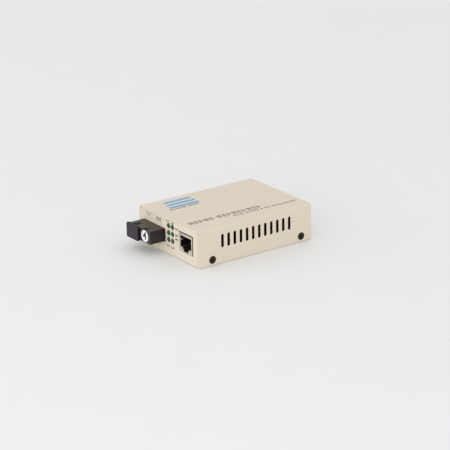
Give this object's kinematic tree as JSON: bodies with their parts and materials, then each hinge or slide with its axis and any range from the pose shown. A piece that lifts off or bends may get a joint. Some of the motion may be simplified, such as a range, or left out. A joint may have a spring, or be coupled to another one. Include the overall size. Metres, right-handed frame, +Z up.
{
  "type": "fibre media converter",
  "caption": "Compact vented steel box that joins a copper network socket to a single-fibre optical port, with indicator lamps and a DC power socket.",
  "frame": {"origin": "centre of the case's underside, on the surface it stands on", "axes": "+Z up through the cover, -Y out of the port panel, +X towards the network socket's side"},
  "size_m": [0.07, 0.1081, 0.026],
  "materials": {
    "case_paint": "satin powder coat on steel",
    "dark_screw": "black oxide",
    "bright_screw": "zinc plated",
    "plated_brass": "plated",
    "board_resin": "solder mask on glass epoxy",
    "black_moulding": "moulded",
    "grey_moulding": "moulded",
    "plug_rubber": "moulded",
    "white_paper": "self-adhesive disc",
    "ceramic_sleeve": "polished",
    "bright_shield": "plated sheet",
    "gold_contact": "gold plated",
    "tinned_pin": "tinned",
    "green_lens": "tinted epoxy",
    "chip_epoxy": "moulded epoxy",
    "capacitor_can": "sleeved can",
    "ferrite": "sintered",
    "copper_wire": "enamelled winding",
    "ceramic_chip": "fired ceramic"
  },
  "bodies": {
    "converter": {"top_cover": "case_paint", "bottom_tray": "case_paint", "cover_screws": "dark_screw", "board_standoffs": "plated_brass", "board_screws": "bright_screw", "circuit_board": "board_resin", "optical_module_housing": "black_moulding", "optical_module_pins": "tinned_pin", "fibre_sleeve": "ceramic_sleeve", "blank_port_insert": "grey_moulding", "marker_disc": "white_paper", "ethernet_jack_shield": "bright_shield", "ethernet_jack_insert": "black_moulding", "ethernet_jack_contacts": "gold_contact", "led_spacer": "black_moulding", "indicator_leds": "green_lens", "led_leads": "tinned_pin", "power_jack_body": "black_moulding", "power_jack_pin": "bright_shield", "power_jack_terminals": "tinned_pin", "network_transformer": "chip_epoxy", "switch_chip": "chip_epoxy", "crystal": "bright_shield", "electrolytic_capacitors": "capacitor_can", "inductor_core": "ferrite", "inductor_coil": "copper_wire", "voltage_regulator": "chip_epoxy", "memory_chip": "chip_epoxy", "chip_resistors": "chip_epoxy", "chip_capacitors": "ceramic_chip"},
    "plug": {"dust_plug": "plug_rubber"}
  },
  "joints": [
    {"name": "dust_plug_slide", "type": "slide", "parent": "converter", "child": "plug", "axis": [0, -1, 0], "range_m": [0, 0.03]}
  ]
}
